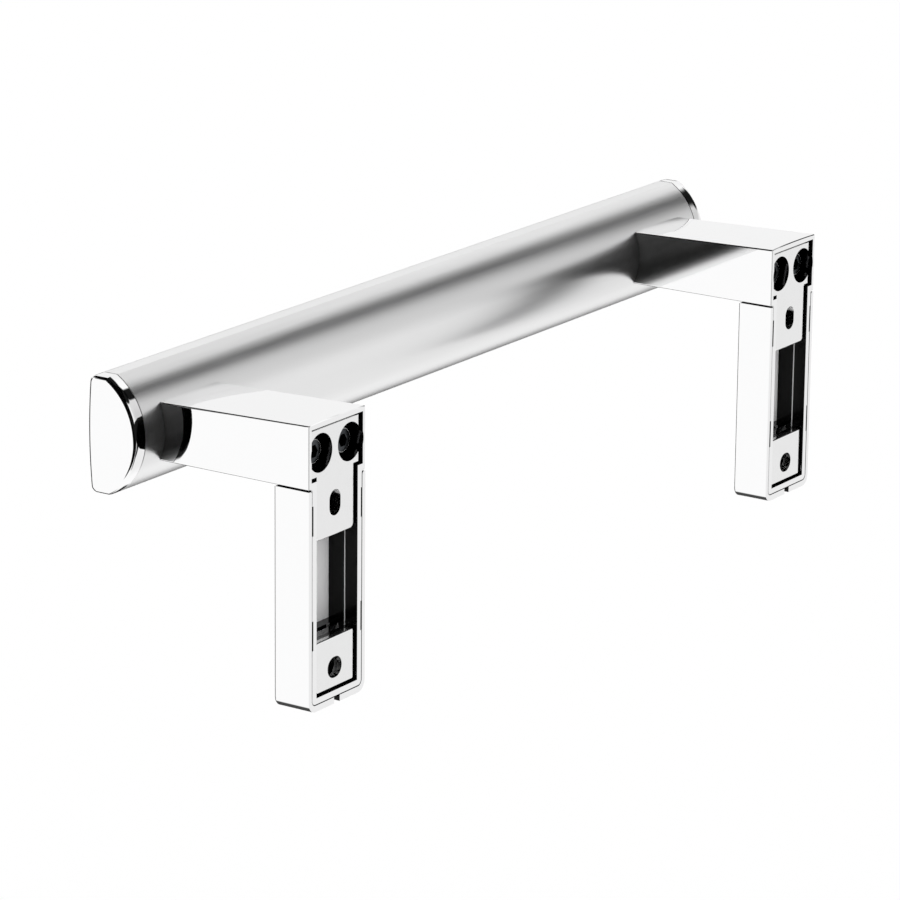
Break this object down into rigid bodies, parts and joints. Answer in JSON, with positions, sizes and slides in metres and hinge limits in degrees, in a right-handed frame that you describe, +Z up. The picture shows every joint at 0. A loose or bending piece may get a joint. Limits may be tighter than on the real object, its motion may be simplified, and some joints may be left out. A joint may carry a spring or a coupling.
{
  "type": "grab bar",
  "caption": "Wall grab bar for a shower or bath: a D-section hand rail with bevelled end caps, held off the wall by arms on slim legs that are screwed to it behind clip-on covers.",
  "frame": {"origin": "on the wall plane, midway between the two posts, at the height of the middles of the upper wall-screw slots", "axes": "+X along the rail to the right as seen from the room, +Y into the wall, +Z up; the rail and the arms lie at negative Y"},
  "size_m": [0.3644, 0.0794, 0.1084],
  "materials": {
    "satin_aluminium": "satin anodised",
    "chrome": "polished chrome plating",
    "anchor_metal": "bright plating over a plain casting",
    "steel": "plain stainless steel",
    "black_plastic": "matt"
  },
  "bodies": {
    "root": {"grip_rail": "satin_aluminium", "end_cap_left": "chrome", "end_cap_right": "chrome", "cap_plug_left": "black_plastic", "cap_plug_right": "black_plastic", "post_left": "chrome", "post_right": "chrome", "leg_cover_left": "chrome", "leg_cover_right": "chrome", "upper_anchor_left": "anchor_metal", "upper_anchor_right": "anchor_metal", "lower_anchor_left": "anchor_metal", "lower_anchor_right": "anchor_metal", "thread_block_left": "steel", "thread_block_right": "steel", "rail_screws": "steel", "screw_washers": "steel"}
  },
  "joints": []
}
